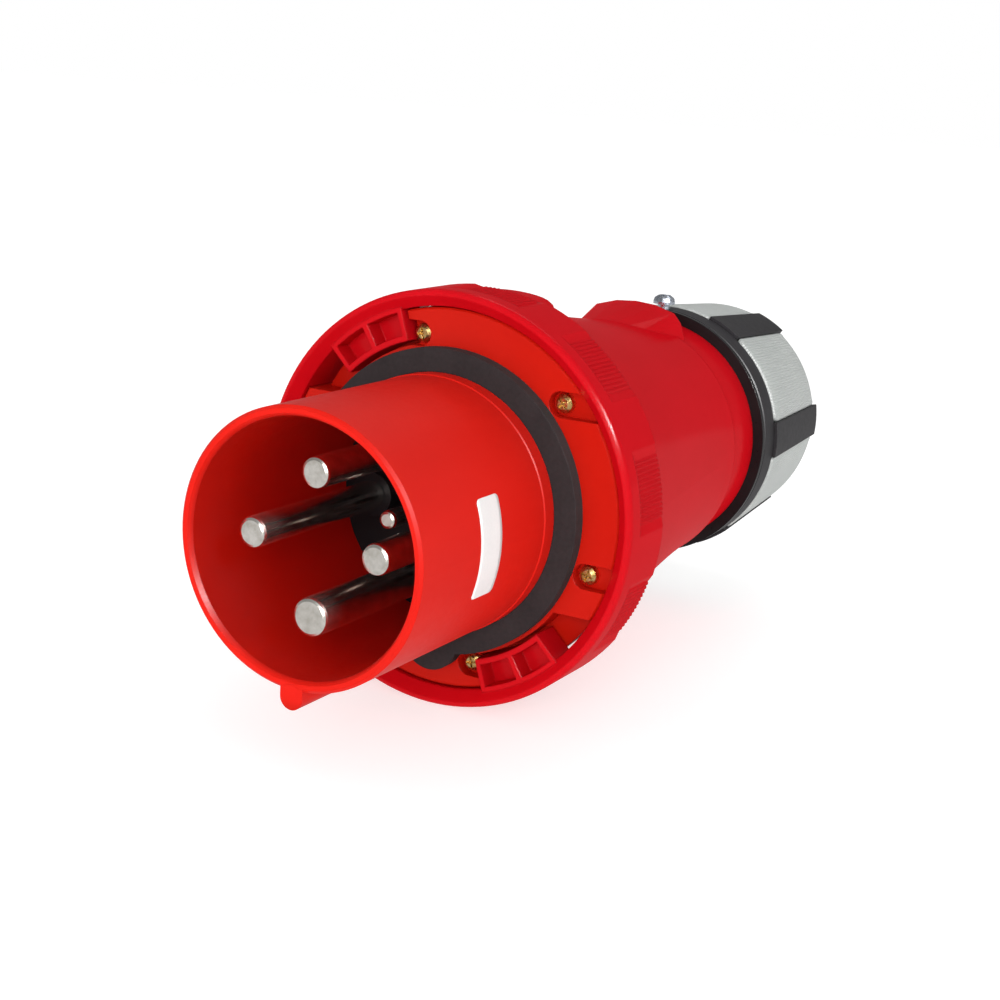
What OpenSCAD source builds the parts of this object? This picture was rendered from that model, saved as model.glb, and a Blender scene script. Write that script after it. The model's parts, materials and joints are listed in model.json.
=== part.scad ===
/* Industrial pin and sleeve plug, three phases and earth with a pilot contact.
   The axis of the plug lies along Y. The origin is the centre of the sleeve's mouth,
   the cable leaves toward +Y, and the keyway rib is at the bottom (-Z). */

/* [Sleeve] */
// Outer diameter of the contact sleeve
sleeve_d = 71; // [68:0.5:74]
// Wall of the contact sleeve
sleeve_wall = 2.8; // [2.2:0.1:3.2]
// Distance from the sleeve's mouth to the flange face
sleeve_len = 68.6; // [64:0.2:72]
// Height of the keyway rib above the sleeve
key_h = 5; // [3:0.5:6]
// Width of the keyway rib
key_w = 6.6; // [5:0.2:8]

/* [Contacts] */
// Diameter of the phase pins
phase_d = 8; // [7:0.5:9]
// Diameter of the earth pin
earth_d = 10; // [9:0.5:11]
// Diameter of the pilot pin
pilot_d = 5; // [4:0.5:6]
// Radius of the circle that the pins stand on
pin_circle_r = 18.3; // [17.5:0.1:19]
// Distance from the mouth to the tips of the pins
pin_setback = 6.4; // [4:0.2:9]
// Distance from the mouth to the tip of the pilot pin
pilot_setback = 39.6; // [34:0.2:44]

/* [Flange and ring] */
// Diameter of the flange behind the sleeve
flange_d = 105.4; // [104:0.2:107]
// Outer diameter of the bayonet ring
ring_d = 115.6; // [114:0.2:118]
// Length of the bayonet ring along the axis
ring_len = 21.4; // [21:0.1:22]
// Number of grip lobes round the ring
lobe_count = 10; // [8:1:12]
// Number of ridges in each grip field
ridge_count = 13; // [9:1:15]
// Angle that the ring turns through to lock
ring_turn = 9; // [6:1:9]
// Number of screws in the flange
flange_screw_count = 6; // [4:2:6]

/* [Handle] */
// Diameter of the handle at its rear rim
handle_d = 80; // [76:1:84]
// Distance from the mouth to the handle's rear rim
handle_rim_z = 179.6; // [172:0.2:186]
// Wall of the handle
handle_wall = 3; // [2.4:0.2:4]
// Height of the hump's top above the axis
hump_h = 45.4; // [43:0.2:47]

/* [Cable gland] */
// Diameter of the gland nut's front collar
nut_d = 82; // [81:0.2:84]
// Diameter of the gland nut at its rear end
nut_rear_d = 75; // [72:0.5:78]
// Length of the gland nut
nut_len = 58.4; // [56:0.2:62]
// Number of light grip inserts in the nut
insert_count = 6; // [5:1:6]
// Largest cable that the gland takes
cable_d = 30; // [22:1:34]

/* [Hidden] */

$fn = 96;
eps = 0.01;            // overlap that makes a cut or a joint clean
run_gap = 0.4;         // gap between the ring and what it turns on
seat_gap = 0.2;        // gap between pieces that are slid together
fit_gap = 0.05;        // gap in a close running fit

orange_red = [0.84, 0.12, 0.07];
crimson = [0.76, 0.08, 0.12];
charcoal = [0.2, 0.18, 0.18];
anthracite = [0.3, 0.3, 0.32];
light_grey = [0.78, 0.8, 0.78];
nickel = [0.78, 0.77, 0.74];
brass = [0.78, 0.62, 0.28];
zinc = [0.72, 0.74, 0.78];
black = [0.06, 0.06, 0.07];
white = [0.95, 0.95, 0.95];

// Sleeve and flange, measured from the mouth
sleeve_r = sleeve_d / 2;
sleeve_in_r = sleeve_r - sleeve_wall;
rim_round = 0.8;
band_z = sleeve_len - 8.8;      // faint step round the sleeve
band_h = 0.3;
key_len = 17;
flange_r = flange_d / 2;
flange_t = 12;
flange_back = sleeve_len + flange_t;
barrel_wall = 4.8;
barrel_r = sleeve_in_r + barrel_wall;
barrel_back = sleeve_len + 24.4;

// Face gasket
gasket_t = 4;
gasket_r = 42.3;
gasket_tab_r = 8.6;
gasket_tab_at = 39;

// Bayonet ring
ring_r = ring_d / 2;
ring_front = sleeve_len - 3.6;
ring_back = ring_front + ring_len;
ring_in_r = flange_r + run_gap;
rim_band = 6.2;                 // plain band behind the ring's front face
rim_bevel = 3;                  // depth of the slope inside the front face
grip_depth = 1;
lobe_step = 360 / lobe_count;
lobe_half = 6.5;                // half of a lobe's angle
ramp_angle = 3;
first_lobe = 65;
lip_front = flange_back + run_gap;
lip_count = 4;                  // snap lips that hold the ring behind the flange
lip_angle = 30;
lip_t = 3.2;
wall_bite = 0.7;                // how far lugs and lips run into the ring's wall
collar_r = 50.2;                // collar of the handle inside the ring
lip_r = collar_r + run_gap + 0.3;
ridge_h = 0.45;
ring_round = 1.6;

// Bayonet lugs and the recesses that they turn in
lug_front = sleeve_len - 1.6;
lug_back = lug_front + 9.4;
lug_in_r = 44.5;
lug_from = -72.4;
lug_angle = 28;
lug_wall = 1.6;
pocket_depth = 5.5;
pocket_angle = 11.4;
pocket_gap = 2;                 // angle between a lug's two pockets
pocket_edge = (lug_angle - 2 * pocket_angle - pocket_gap) / 2;
recess_floor = lug_back + 0.8;
recess_in_r = 43.3;
recess_slack = 1;               // angle left free beside a lug
recess_from = lug_from - recess_slack;
recess_past = 12;               // angle that a recess runs on beyond the lug's travel
recess_angle = lug_angle + ring_turn + recess_slack + recess_past;
recess_edge_h = 24.6;           // level edge that ends the recess
recess_skirt_r = 51.2;

// Flange screws
screw_r = 45.9;
screw_from = -16.5;
screw_step = 360 / flange_screw_count;
screw_head_r = 2.7;
screw_head_h = 2.2;
screw_shank_r = 1.75;
screw_len = 20;
notch_w = 7;
notch_floor = sleeve_len + 3.4;

// Carrier, collars and terminals
carrier_r = sleeve_in_r - seat_gap;
carrier_flange_t = 4;
collar_front = sleeve_len - 8.2;
pin_collar_wall = 2.1;
terminal_r = 7;
terminal_len = 22;
pin_waist = 0.4;                // the shank inside the carrier is thinner by this
pin_step = collar_front - 0.3;
pin_shoulder = barrel_back + 2;
pin_end = pin_shoulder + terminal_len;
wire_depth = 16;
wire_wall = 2;
terminal_screw_at = 5;
terminal_screw_step = 7;
terminal_screw_in = 1.8;
pilot_terminal_r = 4.6;
terminal_screw_r = 2;
carrier_screw_r = 34.9;
carrier_screw_from = 45;
carrier_screw_len = 8;
small_shank_r = 1.25;
small_head_r = 2.4;
small_head_h = 1.8;
pin_angles = [90, 180, 0];
earth_angle = -90;

// Seal between the flange and the handle
seal_r = 40.5;
seal_wire_r = 1.2;
seal_z = flange_back + seal_wire_r + eps;

// Handle
handle_r = handle_d / 2;
ear_front = ring_back + 2;
ear_back = ear_front + 11;
ear_r = 55.3;
ear_half = 16;                  // half of an ear's angle
ear_drop = 3;                   // how far an ear's outline falls at its ends
ear_steps = 8;
rear_neck_r = handle_r - 2.3;
rear_neck_len = 21.2;
rear_neck_back = handle_rim_z + rear_neck_len;
spigot_r = 35.4;
spigot_len = 21;
spigot_back = rear_neck_back + spigot_len;
spigot_in_r = 30.6;
hump_half = 22;                 // half of the angle that the hump's top spans
hump_root_half = 30;            // the same at its foot
hump_steps = 5;
hump_round = 1.1;
hump_run = 26;                  // length over which the hump rises
hump_over = 3.4;                // how far it reaches past the handle's rim
hump_start = handle_rim_z - hump_run;
hump_start_half = 10;
flare_steps = 12;
flare_power = 1.4;
front_extra = 6;                // extra wall round the flange screws
tail_slope = 12;                // length of the slope inside the rear rim
seal_seat_z = rear_neck_back - 2;
seal_ledge_r = 24;

// Gland
neck_ring_t = 1.5;              // ring between the housing's shoulder and the nut
nut_r = nut_d / 2;
nut_rear_r = nut_rear_d / 2;
nut_front = rear_neck_back + neck_ring_t + 0.3;
nut_back = nut_front + nut_len;
nut_chamfer = 1.4;
nut_collar_len = 9.8;
collar_back = nut_front + nut_collar_len;
rib_proud = 1;
rib_half = 8;
insert_t = 2.2;
insert_half = 180 / insert_count - rib_half - 0.3;
first_rib = 62;
insert_tip_gap = 3;
nut_mouth_r = 20.5;
cable_r = cable_d / 2;
washer_t = 2.4;
washer_r = spigot_r - 0.6;
washer_front = spigot_back + 0.6;
washer_back = washer_front + washer_t;
basket_front = washer_back + fit_gap;
basket_ring = 4;
basket_neck = basket_front + basket_ring;
basket_back = nut_back - 8;
basket_r = 34.4;
basket_tip_r = 24;
basket_wall = 3;
basket_slots = 8;
slot_w = 3;

// Neck ring and the nut's lock screw
neck_ring_r = nut_r + 0.2;
lock_z = nut_front + 2.6;
lock_seat_r = nut_r + 1.7;      // the head's underside stands clear of the nut
lock_head_r = 3.6;
lock_head_h = 2.8;
lock_shank_r = 2;

// Label
label_from = -18.5;
label_angle = 40;
label_w = 8.4;
label_gap = 33;                 // from the label to the flange
label_front = sleeve_len - label_gap - label_w;
label_t = 0.12;

// Turns the axis of every piece from Z to Y
module place() { rotate([-90, 0, 0]) children(); }

// Turns a piece about the axis, anticlockwise as seen from the mouth
module at(angle) { rotate([0, 0, -angle]) children(); }

module tube(outer_r, inner_r, from, to) {
    translate([0, 0, from]) difference() {
        cylinder(h = to - from, r = outer_r);
        translate([0, 0, -1]) cylinder(h = to - from + 2, r = inner_r);
    }
}

// Part of a ring, from one angle on through another
module arc_block(inner_r, outer_r, start, angle, from, to) {
    at(start + angle) rotate_extrude(angle = angle)
        translate([inner_r, from]) square([outer_r - inner_r, to - from]);
}

module turned(points) { rotate_extrude() polygon(points); }

// --- Sleeve with its flange, one moulding ---
module sleeve_profile() {
    turned([
        [sleeve_in_r, 2 * rim_round], [sleeve_in_r + rim_round, 0.2],
        [sleeve_r - rim_round, 0], [sleeve_r, rim_round],
        [sleeve_r, band_z], [sleeve_r + band_h, band_z + band_h],
        [sleeve_r + band_h, sleeve_len + eps], [flange_r - 0.5, sleeve_len + eps],
        [flange_r, sleeve_len + 0.5], [flange_r, flange_back],
        [barrel_r, flange_back], [barrel_r, barrel_back], [sleeve_in_r, barrel_back]
    ]);
}

module key_rib() {
    at(-90) translate([sleeve_r - 1, 0, 0]) {
        translate([0, -key_w / 2, 0]) cube([key_h + 1 - key_w / 2, key_w, key_len]);
        translate([key_h + 1 - key_w / 2, 0, 0]) cylinder(h = key_len, r = key_w / 2);
    }
}

module lug_recess() {
    arc_block(recess_in_r, flange_r + 1, recess_from, recess_angle,
        sleeve_len - 1, recess_floor);
    arc_block(recess_skirt_r, flange_r + 1, recess_from, recess_angle,
        sleeve_len, flange_back + 1);
}

module below_edge() {
    translate([-flange_d, recess_edge_h, 0]) cube([2 * flange_d, flange_d, 2 * flange_back]);
}

// Slot round a screw's head, open to the side of the flange
module screw_notch(angle) {
    x = screw_r * cos(angle);
    reach = flange_r + 1 - abs(x);
    translate([x, -screw_r * sin(angle), sleeve_len - 1]) {
        cylinder(h = notch_floor - sleeve_len + 1, r = notch_w / 2);
        translate([x > 0 ? 0 : -reach, -notch_w / 2, 0])
            cube([reach, notch_w, notch_floor - sleeve_len + 1]);
    }
}

module at_flange_screw(i) {
    at(screw_from + i * screw_step) translate([screw_r, 0, 0]) children();
}

module at_carrier_screw(i) {
    at(carrier_screw_from + i * 120) translate([carrier_screw_r, 0, 0]) children();
}

module sleeve_body() color(orange_red) place() difference() {
    union() {
        sleeve_profile();
        key_rib();
    }
    for (turn = [0, 180]) intersection() {
        at(turn) lug_recess();
        rotate([0, 0, turn]) below_edge();
    }
    for (i = [0 : flange_screw_count - 1]) {
        screw_notch(screw_from + i * screw_step);
        at_flange_screw(i) cylinder(h = 2 * flange_back, r = screw_shank_r + fit_gap);
    }
    for (i = [0 : 2]) at_carrier_screw(i)
        translate([0, 0, barrel_back - carrier_screw_len])
            cylinder(h = barrel_back, r = small_shank_r + fit_gap);
}

// --- Face gasket with its tab at the keyway ---
module face_gasket() color(charcoal) place()
    translate([0, 0, sleeve_len - gasket_t]) difference() {
        union() {
            cylinder(h = gasket_t - fit_gap, r = gasket_r);
            at(-90) translate([gasket_tab_at, 0, 0]) cylinder(h = gasket_t - fit_gap, r = gasket_tab_r);
        }
        translate([0, 0, -1]) cylinder(h = gasket_t + 2, r = sleeve_r + band_h + fit_gap);
    }

// --- Bayonet ring ---
function polar(r, a) = [r * cos(a), -r * sin(a)];

// Cutter for one grip field: a sawtooth floor between two sloping ends
module grip_field(start) {
    low = ring_r - grip_depth;
    high = ring_r + 3;
    from = start + ramp_angle;
    pitch = (lobe_step - 2 * (lobe_half + ramp_angle)) / ridge_count;
    end = from + ridge_count * pitch;
    translate([0, 0, ring_front + rim_band]) linear_extrude(ring_len) polygon(concat(
        [polar(high, from - 3 * ramp_angle), polar(low, from)],
        [for (k = [0 : ridge_count - 1]) each [
            polar(low + ridge_h, from + (k + 0.5) * pitch), polar(low, from + (k + 1) * pitch)
        ]],
        [polar(high, end + 3 * ramp_angle), polar(high + 1, (from + end) / 2)]
    ));
}

module ring_shell() {
    turned([
        [ring_in_r, ring_front + rim_bevel], [ring_in_r + rim_bevel, ring_front],
        [ring_r - ring_round, ring_front],
        [ring_r - ring_round / 2, ring_front + ring_round * 0.14],
        [ring_r - ring_round * 0.14, ring_front + ring_round / 2],
        [ring_r, ring_front + ring_round],
        [ring_r, ring_back - ring_round / 2], [ring_r - ring_round / 2, ring_back],
        [ring_in_r, ring_back]
    ]);
}

module lug() {
    pocket_r = ring_in_r - lug_in_r - lug_wall;
    difference() {
        arc_block(lug_in_r, ring_in_r + wall_bite, lug_from, lug_angle, lug_front, lug_back);
        for (k = [0, 1])
            arc_block(lug_in_r + lug_wall, ring_in_r - 0.6,
                lug_from + pocket_edge + k * (pocket_angle + pocket_gap), pocket_angle,
                lug_front - 1, lug_front + pocket_depth);
    }
}

module bayonet_ring() color(crimson) place() {
    difference() {
        ring_shell();
        for (i = [0 : lobe_count - 1]) grip_field(first_lobe + i * lobe_step + lobe_half);
    }
    for (turn = [0, 180]) at(turn) lug();
    for (i = [0 : lip_count - 1])
        arc_block(lip_r, ring_in_r + wall_bite, i * 360 / lip_count - lip_angle / 2, lip_angle,
            lip_front, lip_front + lip_t);
}

// --- Seal between the flange and the handle ---
module seal_loop(r) { rotate_extrude() translate([seal_r, seal_z]) circle(r = r, $fn = 32); }

module flange_seal() color(charcoal) place() seal_loop(seal_wire_r);

// --- Carrier, pins and terminals ---
module at_pin(angle) { at(angle) translate([pin_circle_r, 0, 0]) children(); }

module pin_hole(r, collar) {
    translate([0, 0, collar_front - 1]) cylinder(h = barrel_back, r = r - pin_waist + fit_gap);
    translate([0, 0, pin_shoulder]) cylinder(h = barrel_back, r = collar + fit_gap);
}

module pin_carrier() color(black) place() difference() {
    union() {
        translate([0, 0, sleeve_len])
            cylinder(h = barrel_back - sleeve_len + 2 * fit_gap, r = carrier_r);
        translate([0, 0, barrel_back + fit_gap]) cylinder(h = carrier_flange_t, r = barrel_r - 0.3);
        for (a = pin_angles) at_pin(a)
            translate([0, 0, collar_front]) cylinder(h = flange_t, r = phase_d / 2 + pin_collar_wall);
        at_pin(earth_angle)
            translate([0, 0, collar_front]) cylinder(h = flange_t, r = earth_d / 2 + pin_collar_wall);
        translate([0, 0, collar_front]) cylinder(h = flange_t, r = pilot_d / 2 + pin_collar_wall);
    }
    for (a = pin_angles) at_pin(a) pin_hole(phase_d / 2, terminal_r);
    at_pin(earth_angle) pin_hole(earth_d / 2, terminal_r);
    pin_hole(pilot_d / 2, pilot_terminal_r);
    for (i = [0 : 2]) at_carrier_screw(i)
        translate([0, 0, barrel_back - 1]) cylinder(h = 20, r = small_shank_r + fit_gap);
}

// Solid pin with a wire terminal behind its shoulder
module contact(pin_r, tip, body_r) {
    difference() {
        union() {
            turned([
                [0, tip], [pin_r - 0.9, tip], [pin_r - 0.25, tip + 0.3], [pin_r, tip + 1],
                [pin_r, pin_step], [pin_r - pin_waist, pin_step],
                [pin_r - pin_waist, pin_shoulder + eps], [body_r, pin_shoulder + eps],
                [body_r, pin_end - 0.6], [body_r - 0.6, pin_end], [0, pin_end]
            ]);
        }
        translate([0, 0, pin_end - wire_depth]) cylinder(h = wire_depth + 1, r = body_r - wire_wall);
        for (k = [0, 1]) translate([0, 0, pin_end - terminal_screw_at - k * terminal_screw_step])
            rotate([0, 90, 0]) cylinder(h = body_r + 1, r = terminal_screw_r + fit_gap);
    }
}

module phase_pin(i) color(nickel) place()
    at_pin(pin_angles[i]) contact(phase_d / 2, pin_setback, terminal_r);

module phase_pin_1() phase_pin(0);
module phase_pin_2() phase_pin(1);
module phase_pin_3() phase_pin(2);

module earth_pin() color(nickel) place()
    at_pin(earth_angle) contact(earth_d / 2, pin_setback, terminal_r);

module pilot_pin() color(nickel) place() contact(pilot_d / 2, pilot_setback, pilot_terminal_r);

// Grub screws that clamp the wires, two to a terminal
module terminal_pair(body_r) {
    for (k = [0, 1]) translate([0, 0, pin_end - terminal_screw_at - k * terminal_screw_step])
        rotate([0, 90, 0]) difference() {
            translate([0, 0, body_r - terminal_screw_in])
                cylinder(h = terminal_screw_in, r = terminal_screw_r);
            translate([-terminal_screw_r, -0.4, body_r - 0.8]) cube([2 * terminal_screw_r, 0.8, 1]);
        }
}

module terminal_screws() color(zinc) place() {
    for (a = pin_angles) at_pin(a) terminal_pair(terminal_r);
    at_pin(earth_angle) terminal_pair(terminal_r);
    terminal_pair(pilot_terminal_r);
}

// Cross-head screw standing on z = 0, its shank toward +Z
module cross_screw(head_r, head_h, shank_r, length) {
    difference() {
        union() {
            turned([
                [0, -head_h], [head_r * 0.55, -head_h], [head_r * 0.9, -head_h * 0.7],
                [head_r, -head_h * 0.3], [head_r, 0], [shank_r, 0],
                [shank_r, length - shank_r], [0, length]
            ]);
        }
        for (a = [0, 90]) rotate([0, 0, a])
            translate([-head_r * 0.6, -head_r * 0.11, -head_h - 1])
                cube([head_r * 1.2, head_r * 0.22, 1 + head_h * 0.6]);
    }
}

module carrier_screw(i) color(zinc) place() at_carrier_screw(i)
    translate([0, 0, barrel_back + carrier_flange_t + 2 * fit_gap]) rotate([180, 0, 0])
        cross_screw(small_head_r, small_head_h, small_shank_r, carrier_screw_len);

module carrier_screw_1() carrier_screw(0);
module carrier_screw_2() carrier_screw(1);
module carrier_screw_3() carrier_screw(2);

module flange_screw(i) color(brass) place() at_flange_screw(i)
    translate([0, 0, notch_floor]) cross_screw(screw_head_r, screw_head_h, screw_shank_r, screw_len);

module flange_screw_1() flange_screw(0);
module flange_screw_2() flange_screw(1);
module flange_screw_3() flange_screw(2);
module flange_screw_4() flange_screw(3);
module flange_screw_5() flange_screw(4);
module flange_screw_6() flange_screw(5);

// --- Handle housing ---
function body_r(z) = let (t = (z - ear_back) / (handle_rim_z - ear_back))
    handle_r + (collar_r - handle_r) * pow(1 - t, flare_power);

module handle_shell() {
    flare = [for (k = [0 : flare_steps]) ear_back + k * (handle_rim_z - ear_back) / flare_steps];
    tail_z = handle_rim_z - tail_slope;
    seat_r = barrel_r + seat_gap;
    turned(concat(
        [[seat_r, flange_back], [collar_r, flange_back]],
        [for (z = flare) [body_r(z), z]],
        [[rear_neck_r, handle_rim_z + 0.4], [rear_neck_r, rear_neck_back],
         [spigot_r, rear_neck_back], [spigot_r, spigot_back], [spigot_in_r, spigot_back],
         [spigot_in_r, seal_seat_z], [seal_ledge_r, seal_seat_z],
         [seal_ledge_r, rear_neck_back - handle_wall], [body_r(tail_z) - handle_wall, tail_z]],
        [for (k = [flare_steps - 1 : -1 : 0]) if (flare[k] < tail_z)
            [body_r(flare[k]) - handle_wall - front_extra * (1 - k / flare_steps), flare[k]]],
        [[seat_r, barrel_back]]
    ));
}

// Outline across the hump: an arched top with rounded shoulders and sloping flanks
function hump_outline(top_r, half, root_half) = concat(
    [polar(rear_neck_r, 90 - root_half), polar(top_r - 2 * hump_round, 90 - half)],
    [for (k = [1 - hump_steps : 2 : hump_steps - 1])
        polar(top_r - (abs(k) < hump_steps - 1 ? 0 : hump_round / 3), 90 + k * half / hump_steps)],
    [polar(top_r - 2 * hump_round, 90 + half), polar(rear_neck_r, 90 + root_half)]
);

// Hump that rises toward the rear rim
module hump() {
    difference() {
        hull() {
            translate([0, 0, handle_rim_z + hump_over - 1]) linear_extrude(1)
                polygon(hump_outline(hump_h, hump_half, hump_root_half));
            translate([0, 0, hump_start]) linear_extrude(1)
                polygon(hump_outline(handle_r, hump_start_half, hump_root_half / 2));
        }
        cylinder(h = 2 * handle_rim_z, r = rear_neck_r - 0.2);
    }
}

// Ears behind the ring, top and bottom, lower at their ends
module ears() {
    for (a = [90, 270]) translate([0, 0, ear_front]) linear_extrude(ear_back - ear_front) polygon(concat(
        [for (k = [-ear_steps : ear_steps])
            polar(ear_r - ear_drop * pow(abs(k) / ear_steps, ear_steps), a + k * ear_half / ear_steps)],
        [for (k = [1, 0, -1]) polar(collar_r - 1, a + k * ear_half)]
    ));
}

module handle_housing() color(crimson) place() difference() {
    union() {
        handle_shell();
        hump();
        ears();
    }
    for (i = [0 : flange_screw_count - 1]) at_flange_screw(i)
        translate([0, 0, flange_back - 1]) cylinder(h = screw_len, r = screw_shank_r + fit_gap);
    seal_loop(seal_wire_r + 2 * eps);
}

// --- Cable gland ---
function nut_r_at(z) = nut_r + (nut_rear_r - nut_r) * (z - collar_back) / (nut_back - collar_back);

module cone_sector(inner, outer, start, angle, from, to) {
    at(start + angle) rotate_extrude(angle = angle) polygon([
        [nut_r_at(from) + inner, from], [nut_r_at(from) + outer, from],
        [nut_r_at(to) + outer, to], [nut_r_at(to) + inner, to]
    ]);
}

module nut_shell() {
    turned([
        [spigot_r + fit_gap, nut_front], [nut_r - nut_chamfer, nut_front],
        [nut_r, nut_front + nut_chamfer], [nut_r, collar_back - 1],
        [nut_r_at(collar_back) - insert_t, collar_back],
        [nut_r_at(nut_back - 1) - insert_t, nut_back - 1],
        [nut_r_at(nut_back) - insert_t - 1, nut_back], [nut_mouth_r, nut_back],
        [nut_mouth_r, basket_back + 1], [basket_tip_r + seat_gap, basket_back + 1],
        [basket_r + seat_gap, basket_neck + 0.5], [spigot_r + fit_gap, basket_neck + 0.5]
    ]);
}

module gland_nut() color(anthracite) place() difference() {
    union() {
        nut_shell();
        for (i = [0 : insert_count - 1])
            cone_sector(-insert_t - 0.5, rib_proud, first_rib + i * 360 / insert_count - rib_half,
                2 * rib_half, collar_back - 0.5, nut_back - 1);
    }
    at_lock_screw() cylinder(h = lock_seat_r - spigot_r + 1, r = lock_shank_r + fit_gap);
}

module grip_insert(i) color(light_grey) place()
    cone_sector(-insert_t + fit_gap, 0.4, first_rib + (i + 0.5) * 360 / insert_count - insert_half,
        2 * insert_half, collar_back + 0.2, nut_back - insert_tip_gap);

module grip_insert_1() grip_insert(0);
module grip_insert_2() grip_insert(1);
module grip_insert_3() grip_insert(2);
module grip_insert_4() grip_insert(3);
module grip_insert_5() grip_insert(4);
module grip_insert_6() grip_insert(5);

// Flat ring that keeps dirt out of the gland's thread
module neck_ring() color(black) place() tube(neck_ring_r, spigot_r + fit_gap,
    rear_neck_back + eps, rear_neck_back + neck_ring_t);

module at_lock_screw() {
    at(90) translate([lock_seat_r, 0, lock_z]) rotate([0, -90, 0]) children();
}

// Radial screw that keeps the nut from working loose
module lock_screw() color(zinc) place()
    at_lock_screw() cross_screw(lock_head_r, lock_head_h, lock_shank_r, lock_seat_r - spigot_r - 0.2);

module thrust_washer() color(zinc) place() tube(washer_r, cable_r + 2, washer_front, washer_back);

// Ring with springy claws that the nut's cone presses onto the cable
module clamp_basket() color(black) place() difference() {
    turned([
        [basket_r - basket_wall, basket_front], [basket_r, basket_front], [basket_r, basket_neck],
        [basket_tip_r, basket_back], [basket_tip_r - basket_wall, basket_back],
        [basket_r - basket_wall, basket_neck]
    ]);
    for (i = [0 : basket_slots - 1]) rotate([0, 0, i * 360 / basket_slots])
        translate([0, -slot_w / 2, basket_neck]) cube([nut_r, slot_w, nut_len]);
}

module cable_seal() color(charcoal) place()
    tube(spigot_in_r - fit_gap, cable_r, seal_seat_z + fit_gap, spigot_back + 0.4);

module blank_label() color(white) place()
    arc_block(sleeve_r + eps, sleeve_r + label_t, label_from, label_angle,
        label_front, label_front + label_w);

sleeve_body();
face_gasket();
bayonet_ring();
handle_housing();
flange_seal();
pin_carrier();
phase_pin_1();
phase_pin_2();
phase_pin_3();
earth_pin();
pilot_pin();
terminal_screws();
carrier_screw_1();
carrier_screw_2();
carrier_screw_3();
flange_screw_1();
flange_screw_2();
flange_screw_3();
flange_screw_4();
flange_screw_5();
flange_screw_6();
gland_nut();
grip_insert_1();
grip_insert_2();
grip_insert_3();
grip_insert_4();
grip_insert_5();
grip_insert_6();
neck_ring();
lock_screw();
thrust_washer();
clamp_basket();
cable_seal();
blank_label();
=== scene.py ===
"""Looks of an industrial pin and sleeve plug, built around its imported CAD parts."""

import json
import math

import bmesh
import bpy
from mathutils import Matrix, Vector


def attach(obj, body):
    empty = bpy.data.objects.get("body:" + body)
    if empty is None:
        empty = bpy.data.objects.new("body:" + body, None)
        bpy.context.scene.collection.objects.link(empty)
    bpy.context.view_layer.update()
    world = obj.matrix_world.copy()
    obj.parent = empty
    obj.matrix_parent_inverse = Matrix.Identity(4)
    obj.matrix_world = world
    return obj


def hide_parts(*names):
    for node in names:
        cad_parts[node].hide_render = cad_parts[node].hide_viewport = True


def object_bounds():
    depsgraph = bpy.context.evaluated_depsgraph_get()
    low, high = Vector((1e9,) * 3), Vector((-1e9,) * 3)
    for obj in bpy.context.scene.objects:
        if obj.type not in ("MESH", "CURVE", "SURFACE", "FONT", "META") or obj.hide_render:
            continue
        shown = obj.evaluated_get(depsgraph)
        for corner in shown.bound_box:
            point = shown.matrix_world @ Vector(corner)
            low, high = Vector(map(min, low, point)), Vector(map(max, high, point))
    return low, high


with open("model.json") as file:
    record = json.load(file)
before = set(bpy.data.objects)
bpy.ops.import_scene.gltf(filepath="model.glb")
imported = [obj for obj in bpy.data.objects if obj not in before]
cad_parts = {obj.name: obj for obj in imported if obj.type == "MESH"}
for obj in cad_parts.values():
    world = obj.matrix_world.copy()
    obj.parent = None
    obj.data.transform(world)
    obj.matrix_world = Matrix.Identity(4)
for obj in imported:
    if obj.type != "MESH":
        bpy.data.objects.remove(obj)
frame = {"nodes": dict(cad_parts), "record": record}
cad_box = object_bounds()
nodes = frame["nodes"]
MM = 0.001                  # the scene is in metres, the sizes below are in millimetres


def into_scene(name, data):
    """A new object in the scene."""
    o = bpy.data.objects.new(name, data)
    bpy.context.scene.collection.objects.link(o)
    return o


# --- Camera: the photograph's viewing angle ---
CAM_PLACE = (236.12, -332.28, 115.79)   # the origin is the middle of the sleeve's mouth
CAM_RIGHT = Vector((0.8684, 0.4919, 0.0631))
CAM_UP = Vector((-0.1716, 0.1785, 0.9689))
CAM_BACK = CAM_RIGHT.cross(CAM_UP)
LENS, SENSOR = 63.13, 36
NEAR_CLIP = 10

cam_data = bpy.data.cameras.new("camera")
cam_data.sensor_width = SENSOR
cam_data.lens = LENS
cam_data.clip_start = NEAR_CLIP * MM
cam = into_scene("camera", cam_data)
cam.matrix_world = Matrix([
    (CAM_RIGHT[i], CAM_UP[i], CAM_BACK[i], CAM_PLACE[i] * MM) for i in range(3)
] + [(0, 0, 0, 1)])
bpy.context.scene.camera = cam


# --- Materials ---
class Graph:
    """A node tree, with short ways to add to it."""

    def __init__(self, tree):
        self.tree = tree

    def add(self, kind, **settings):
        n = self.tree.nodes.new(kind)
        for key, value in settings.items():
            setattr(n, key, value)
        return n

    def link(self, a, b):
        self.tree.links.new(a, b)

    def math(self, operation, *values):
        """One sum, of numbers or of other nodes' outputs."""
        n = self.add("ShaderNodeMath", operation=operation)
        for socket, value in zip(n.inputs, values):
            if isinstance(value, (int, float)):
                socket.default_value = value
            else:
                self.link(value, socket)
        return n.outputs[0]

    def map_range(self, value, source, target):
        """The value, mapped from one span onto another."""
        n = self.add("ShaderNodeMapRange")
        n.inputs["From Min"].default_value, n.inputs["From Max"].default_value = source
        n.inputs["To Min"].default_value, n.inputs["To Max"].default_value = target
        self.link(value, n.inputs["Value"])
        return n.outputs[0]

    def glossy_ray(self):
        """1 where a reflection looks, 0 elsewhere."""
        return self.add("ShaderNodeLightPath").outputs["Is Glossy Ray"]


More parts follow.
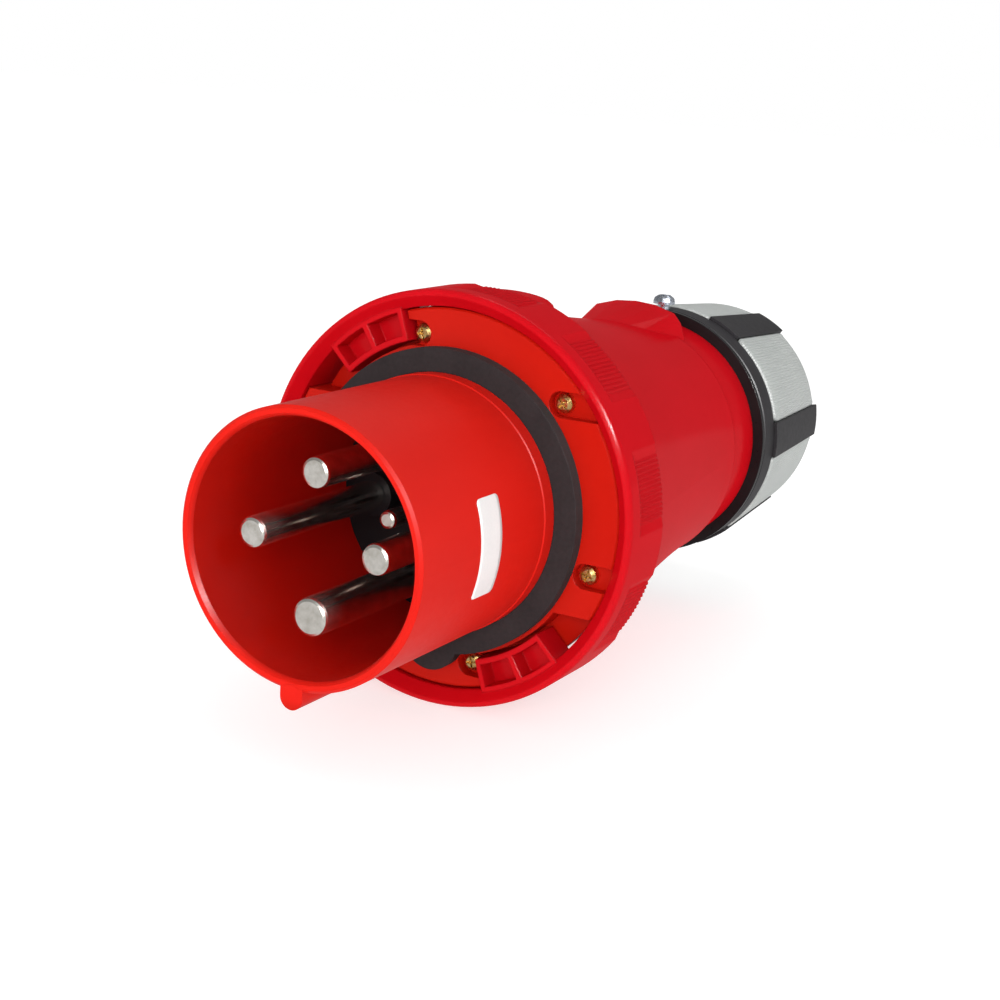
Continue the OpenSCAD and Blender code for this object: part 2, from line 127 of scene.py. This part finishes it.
class Look(Graph):
    """A node material, built step by step round one Principled shader.

    A noise's scale is how many of its features fit in a metre: at 1000 they are a millimetre
    wide. Its values stay near the middle of 0 to 1, so only that part is mapped."""

    COLOUR_SPAN = (0.32, 0.68)
    ROUGHNESS_SPAN = (0.3, 0.7)

    def __init__(self, name, rough, metallic=0.0, specular=0.5, coat=0.0, coat_rough=0.1):
        self.mat = bpy.data.materials.new(name)
        self.mat.use_nodes = True
        super().__init__(self.mat.node_tree)
        self.shader = self.tree.nodes["Principled BSDF"]
        self.set("Roughness", rough)
        self.set("Metallic", metallic)
        self.set("Specular IOR Level", specular)
        self.set("Coat Weight", coat)
        self.set("Coat Roughness", coat_rough)
        self.coord = self.add("ShaderNodeTexCoord").outputs["Object"]
        self.normal = None

    def set(self, socket, value):
        self.shader.inputs[socket].default_value = value

    def noise(self, scale, detail=4.0, rough=0.5, coord=None):
        n = self.add("ShaderNodeTexNoise")
        n.inputs["Scale"].default_value = scale
        n.inputs["Detail"].default_value = detail
        n.inputs["Roughness"].default_value = rough
        self.link(coord or self.coord, n.inputs["Vector"])
        return n.outputs[0]

    def stretched(self, along):
        """Coordinates whose noise is finer or coarser along the plug's axis."""
        n = self.add("ShaderNodeMapping")
        n.inputs["Scale"].default_value = (1, along, 1)
        self.link(self.coord, n.inputs["Vector"])
        return n.outputs[0]

    def ramp(self, value, stops):
        """Colours at their places from 0 to 1, with a blend from each to the next."""
        n = self.add("ShaderNodeValToRGB")
        stops = list(stops)
        elements = n.color_ramp.elements
        while len(elements) < len(stops):
            elements.new(0.5)
        for element, (position, colour) in zip(elements, stops):
            element.position = position
            element.color = (*colour, 1)
        self.link(value, n.inputs[0])
        return n.outputs[0]

    def radius(self):
        """Distance from the plug's axis, in metres."""
        n = self.add("ShaderNodeSeparateXYZ")
        self.link(self.coord, n.inputs[0])
        x, _, z = n.outputs
        squares = self.math("ADD", self.math("MULTIPLY", x, x), self.math("MULTIPLY", z, z))
        return self.math("SQRT", squares)

    def colour(self, low, high, *values):
        """Mixes two colours by the mean of some values."""
        total = values[0]
        for value in values[1:]:
            total = self.math("ADD", total, value)
        mean = self.math("DIVIDE", total, float(len(values)))
        self.link(self.ramp(mean, zip(self.COLOUR_SPAN, (low, high))),
                  self.shader.inputs["Base Color"])

    def tinted(self, tint):
        """Multiplies the colour by another."""
        n = self.add("ShaderNodeMix", data_type="RGBA", blend_type="MULTIPLY")
        n.inputs["Factor"].default_value = 1
        base = self.shader.inputs["Base Color"]
        self.link(base.links[0].from_socket, n.inputs["A"])
        self.link(tint, n.inputs["B"])
        self.link(n.outputs["Result"], base)

    def roughness(self, value, low, high):
        self.link(self.map_range(value, self.ROUGHNESS_SPAN, (low, high)),
                  self.shader.inputs["Roughness"])

    def bump(self, value, depth, strength):
        """One more layer of relief, on top of those before it."""
        n = self.add("ShaderNodeBump")
        n.inputs["Strength"].default_value = strength
        n.inputs["Distance"].default_value = depth * MM
        self.link(value, n.inputs["Height"])
        if self.normal is not None:
            self.link(self.normal, n.inputs["Normal"])
        self.normal = n.outputs["Normal"]
        self.link(self.normal, self.shader.inputs["Normal"])

    def edges(self, radius):
        """Rounds sharp edges a little, as a mould or a tool leaves them."""
        n = self.add("ShaderNodeBevel", samples=4)
        n.inputs["Radius"].default_value = radius * MM
        self.normal = n.outputs["Normal"]
        self.link(self.normal, self.shader.inputs["Normal"])
        self.link(self.normal, self.shader.inputs["Coat Normal"])

    def in_gloss(self, strength):
        """What reflections see of the surface is a plain glow of this strength."""
        glow = self.add("ShaderNodeEmission")
        glow.inputs["Strength"].default_value = strength
        mix = self.add("ShaderNodeMixShader")
        self.link(self.glossy_ray(), mix.inputs[0])
        self.link(self.shader.outputs[0], mix.inputs[1])
        self.link(glow.outputs[0], mix.inputs[2])
        self.link(mix.outputs[0], self.tree.nodes["Material Output"].inputs["Surface"])


def moulded(name, low, high, rough, grain, edge=0.35, **more):
    """Moulded plastic: soft colour drift, fine grain and slight sink in its walls."""
    m = Look(name, rough, **more)
    m.edges(edge)
    drift = m.noise(24, detail=3)
    flow = m.noise(60, rough=0.6, coord=m.stretched(0.25))
    m.colour(low, high, drift, flow)
    m.roughness(m.noise(500, detail=3, rough=0.7), rough - 0.03, rough + 0.04)
    m.bump(m.noise(38, detail=2, rough=0.4), depth=0.25, strength=0.12)
    m.bump(m.noise(1700, detail=3, rough=0.7), depth=grain, strength=0.08)
    return m


def plated(name, low, high, rough, stains, shine, shine_from, shine_to):
    """A plated screw: its colour drifts at one noise scale, and its shine at a finer one."""
    m = Look(name, rough, metallic=1.0)
    m.edges(0.12)
    m.colour(low, high, m.noise(stains))
    m.roughness(m.noise(shine), shine_from, shine_to)
    m.bump(m.noise(2400, detail=3), depth=0.02, strength=0.4)
    return m


sleeve = moulded("sleeve_plastic", (0.61, 0.008, 0.003), (0.67, 0.011, 0.005),
                 rough=0.40, grain=0.02, specular=0.08)
handle = moulded("handle_plastic", (0.51, 0.003, 0.007), (0.57, 0.004, 0.010),
                 rough=0.25, grain=0.012, edge=0.8, specular=0.0, coat=0.18, coat_rough=0.16)
nut_plastic = moulded("nut_plastic", (0.019, 0.017, 0.019), (0.030, 0.027, 0.031),
                      rough=0.48, grain=0.03, specular=0.22)
black_plastic = moulded("black_plastic", (0.006, 0.006, 0.007), (0.012, 0.012, 0.013),
                        rough=0.3, grain=0.02, specular=0.2)

# Painted shade: the sleeve's inside, deep in the mouth, and the flange, recessed behind the ring,
# are painted darker than the sleeve's outside, where shade falls on them: the darkening tint at
# each distance from the axis
PAINTED_SHADE_ZONES = [(32.75, (0.74, 0.7, 0.7)), (33.2, (1, 1, 1)), (38, (1, 1, 1)), (40, (0.80, 0.86, 0.62))]
ZONES_SPAN = 100
sleeve.tinted(sleeve.ramp(sleeve.math("DIVIDE", sleeve.radius(), ZONES_SPAN * MM),
                          [(r / ZONES_SPAN, tint) for r, tint in PAINTED_SHADE_ZONES]))

rubber = Look("rubber", rough=0.7, specular=0.15)
rubber.edges(0.25)
rubber.colour((0.018, 0.013, 0.014), (0.028, 0.021, 0.022),
              rubber.noise(120), rubber.noise(900, detail=3))
rubber.roughness(rubber.noise(500, detail=3), 0.62, 0.8)
rubber.bump(rubber.noise(1800, rough=0.7), depth=0.05, strength=0.5)

grip = Look("grip_plastic", rough=0.45, specular=0.25)
grip.edges(0.2)
grip.colour((0.45, 0.475, 0.46), (0.51, 0.53, 0.515),
            grip.noise(60, detail=3), grip.noise(600, detail=3))
grip.bump(grip.noise(2200, detail=3, rough=0.7), depth=0.03, strength=0.4)

nickel = Look("nickel", rough=0.2, metallic=1.0)
nickel.edges(0.15)
nickel.colour((0.72, 0.68, 0.61), (1.0, 0.96, 0.90), nickel.noise(280, rough=0.6))
nickel.roughness(nickel.noise(700, rough=0.6, coord=nickel.stretched(6)), 0.18, 0.26)
nickel.bump(nickel.noise(900, rough=0.6, coord=nickel.stretched(8)), depth=0.02, strength=0.06)

brass = plated("yellow_zinc", (0.55, 0.33, 0.08), (0.80, 0.60, 0.28), rough=0.28,
               stains=900, shine=1500, shine_from=0.18, shine_to=0.4)
zinc = plated("blue_zinc", (0.42, 0.46, 0.54), (0.66, 0.70, 0.76), rough=0.25,
              stains=700, shine=1300, shine_from=0.15, shine_to=0.35)

film = Look("label_film", rough=0.35, coat=0.2)
film.colour((0.80, 0.80, 0.79), (0.86, 0.86, 0.85),
            film.noise(90, detail=3), film.noise(1500, detail=3))
film.bump(film.noise(1400, detail=3), depth=0.012, strength=0.3)

BY_SLOT = {
    "sleeve": sleeve, "handle": handle, "gland": nut_plastic, "carrier": black_plastic,
    "seal": rubber, "grip": grip, "contact": nickel, "brass_screw": brass,
    "zinc_screw": zinc, "label": film,
}
for part in frame["record"]["subparts"]:
    look = BY_SLOT[part["material_slot"]].mat
    obj = nodes[part["node"]]
    if not obj.material_slots:
        obj.data.materials.append(look)
    for s in obj.material_slots:
        s.material = look


# --- Pieces made here ---
def piece(name, bm, look, body, stands_for):
    """A smooth mesh that rides a body in the place of a CAD node."""
    mesh = bpy.data.meshes.new(name)
    bm.to_mesh(mesh)
    bm.free()
    mesh.materials.append(look.mat)
    for f in mesh.polygons:
        f.use_smooth = True
    o = into_scene(name, mesh)
    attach(o, body)
    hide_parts(stands_for)


def on_cylinder(r, angle, y):
    """A point at a radius, an angle from +X toward +Z, and a place along the axis, in mm."""
    a = math.radians(angle)
    return Vector((r * math.cos(a), y, r * math.sin(a))) * MM


def blend(ends, t):
    return ends[0] + (ends[1] - ends[0]) * t


def arc_patch(inner, outer, start, end, front, rear, steps, across, edge_r, lift=lambda u, t: 0):
    """A curved plate between two cones, with rounded corners.

    inner and outer are each cone's radius at the front and at the rear. lift(u, t) adds height
    in mm, where u runs round and t along the axis, both from 0 to 1."""
    bm = bmesh.new()
    width = math.radians(abs(end - start)) * (outer[0] + outer[1]) / 2
    length = rear - front
    top, bottom = [], []
    for i in range(steps + 1):
        u = i / steps
        # The corners are rounded by shortening the outer columns
        side = min(u, 1 - u) * width
        cut = edge_r - math.sqrt(max(0.0, edge_r ** 2 - max(0.0, edge_r - side) ** 2))
        angle = start + u * (end - start)
        for j in range(across + 1):
            y = front + cut + j / across * (length - 2 * cut)
            t = (y - front) / length
            top.append(bm.verts.new(on_cylinder(blend(outer, t) + lift(u, t), angle, y)))
            bottom.append(bm.verts.new(on_cylinder(blend(inner, t), angle, y)))

    def wall(k, step):
        bm.faces.new((top[k], top[k + step], bottom[k + step], bottom[k]))

    n = across + 1
    for i in range(steps):
        for k in range(i * n, i * n + across):
            bm.faces.new((top[k], top[k + 1], top[k + n + 1], top[k + n]))
            bm.faces.new((bottom[k], bottom[k + n], bottom[k + n + 1], bottom[k + 1]))
        wall(i * n, n)
        wall(i * n + across, n)
    for j in range(across):
        wall(j, 1)
        wall(steps * n + j, 1)
    bmesh.ops.recalc_face_normals(bm, faces=bm.faces)
    return bm


def extent(node):
    """A CAD node's points in mm, and its lowest and highest angle in degrees."""
    points = [v.co / MM for v in nodes[node].data.vertices]
    centre = sum(points, Vector()) / len(points)
    mid = math.atan2(centre.z, centre.x)
    turns = [(math.atan2(p.z, p.x) - mid + math.pi) % (2 * math.pi) - math.pi for p in points]
    return points, math.degrees(mid + min(turns)), math.degrees(mid + max(turns))


def radii(points):
    return [math.hypot(p.x, p.z) for p in points]


# Grip inserts, with fine ridges along the axis and rounded corners
RIDGE = 1.05                # from one ridge to the next
RIDGE_DEPTH = 0.22
RIDGE_STEPS = 8
RIDGE_FADE = 1.5            # ridges near a side that grow from nothing
RIDGE_FADE_END = 0.03       # the same near an end, as a share of the pad's length
RIM_DROP = 0.35             # how far the pad's rim dips below its face
RIM_END = 0.015             # the rim's width at an end, as a share of the pad's length
PAD_ACROSS = 24
PAD_CORNER = 2.6
END_BAND = 0.1              # how near to an end a point counts as being on it


def ribbed(ridges):
    """The ridges' relief, which fades out at the pad's four sides."""
    def lift(u, t):
        side, end = min(u, 1 - u) * ridges, min(t, 1 - t)
        fade = min(1.0, side / RIDGE_FADE) * min(1.0, end / RIDGE_FADE_END)
        rim = 1 - min(1.0, side, end / RIM_END)
        wave = 0.5 + 0.5 * math.cos(2 * math.pi * ridges * u)
        return -RIDGE_DEPTH * fade * wave - RIM_DROP * rim ** 2
    return lift


for name in sorted(n for n in nodes if n.startswith("grip_insert_")):
    points, start, end = extent(name)
    front, rear = min(p.y for p in points), max(p.y for p in points)
    at_front = radii(p for p in points if p.y < front + END_BAND)
    at_rear = radii(p for p in points if p.y > rear - END_BAND)
    inner, outer = (min(at_front), min(at_rear)), (max(at_front), max(at_rear))
    ridges = round(math.radians(end - start) * outer[0] / RIDGE)
    pad = arc_patch(inner, outer, start, end, front, rear, ridges * RIDGE_STEPS, PAD_ACROSS,
                    PAD_CORNER, ribbed(ridges))
    piece(name.replace("insert", "pad"), pad, grip, "nut", name)

# Blank label: film with rounded corners, stuck on a little askew
LABEL_SKEW = 1.0            # how far its ends are off square, from one to the other
LABEL_WIDER = 0.8           # degrees added at each end
LABEL_LONGER = 1.8
LABEL_STEPS, LABEL_ACROSS, LABEL_CORNER = 160, 8, 1.3
points, start, end = extent("blank_label")
inner, outer = [(r, r) for r in (min(radii(points)), max(radii(points)))]
label = arc_patch(inner, outer, start - LABEL_WIDER, end + LABEL_WIDER, min(p.y for p in points),
                  max(p.y for p in points) + LABEL_LONGER, LABEL_STEPS, LABEL_ACROSS,
                  LABEL_CORNER)
for v in label.verts:
    around = math.degrees(math.atan2(v.co.z, v.co.x)) - (start + end) / 2
    v.co.y += LABEL_SKEW * MM * around / (end - start)
piece("label_film", label, film, "plug", "blank_label")


# --- Floor and light ---
ZENITH = 0.68               # how bright the studio is straight above, beside its walls
ZENITH_STARTS = 0.25        # the height on the unit sphere where it starts to dim
FLOOR_GLOW = 0.62           # keeps the pale floor even, with only a soft shadow on it
SKY_IN_GLOSS = 0.25         # a studio's dark walls, as gloss shows them
FLOOR_IN_GLOSS = 0.55
FLOOR_HALF = 6.0            # in metres
WHITE = (1, 1, 1, 1)

floor_mesh = bpy.data.meshes.new("floor")
floor_mesh.from_pydata(
    [(x * FLOOR_HALF, y * FLOOR_HALF, 0) for x, y in ((-1, -1), (1, -1), (1, 1), (-1, 1))],
    [], [(0, 1, 2, 3)])
floor = into_scene("floor", floor_mesh)
floor.location = (0, 0, cad_box[0][2])
floor_look = Look("floor_paint", rough=0.9, specular=0.1)
floor_look.colour((0.52, 0.52, 0.52), (0.56, 0.56, 0.56), floor_look.noise(3, detail=2))
floor_look.set("Emission Color", WHITE)
floor_look.set("Emission Strength", FLOOR_GLOW)
floor_look.in_gloss(FLOOR_IN_GLOSS)
floor_mesh.materials.append(floor_look.mat)

bpy.context.scene.view_settings.view_transform = "Standard"
world = bpy.data.worlds.new("world")
world.use_nodes = True
bpy.context.scene.world = world
studio = Graph(world.node_tree)
direction = studio.add("ShaderNodeSeparateXYZ")
studio.link(studio.add("ShaderNodeTexCoord").outputs["Generated"], direction.inputs[0])
by_height = studio.map_range(direction.outputs["Z"], (ZENITH_STARTS, 1), (1, ZENITH))
by_ray = studio.math("MULTIPLY_ADD", studio.glossy_ray(), SKY_IN_GLOSS - 1, 1)
sky = studio.tree.nodes["Background"]
sky.inputs["Color"].default_value = WHITE
studio.link(studio.math("MULTIPLY", by_ray, by_height), sky.inputs["Strength"])


def area(name, place, target, size, power, only_gloss=False):
    """A rectangular lamp that faces a target, in metres. only_gloss: reflections alone see it."""
    data = bpy.data.lights.new(name, "AREA")
    data.shape = "RECTANGLE"
    data.size, data.size_y = size
    data.energy = power
    o = into_scene(name, data)
    o.visible_diffuse = not only_gloss
    o.location = place
    o.rotation_euler = (Vector(target) - Vector(place)).to_track_quat("-Z", "Y").to_euler()


ON_HANDLE = (0, 0.08, 0)
area("key", (0.3, -0.85, 0.25), ON_HANDLE, size=(0.5, 0.5), power=5)
area("rim", (-0.1, 0.75, 0.9), (0, 0.1, 0), size=(0.7, 0.25), power=1)
area("glint", (0.9, -0.3, 0.6), ON_HANDLE, size=(0.22, 0.22), power=70, only_gloss=True)
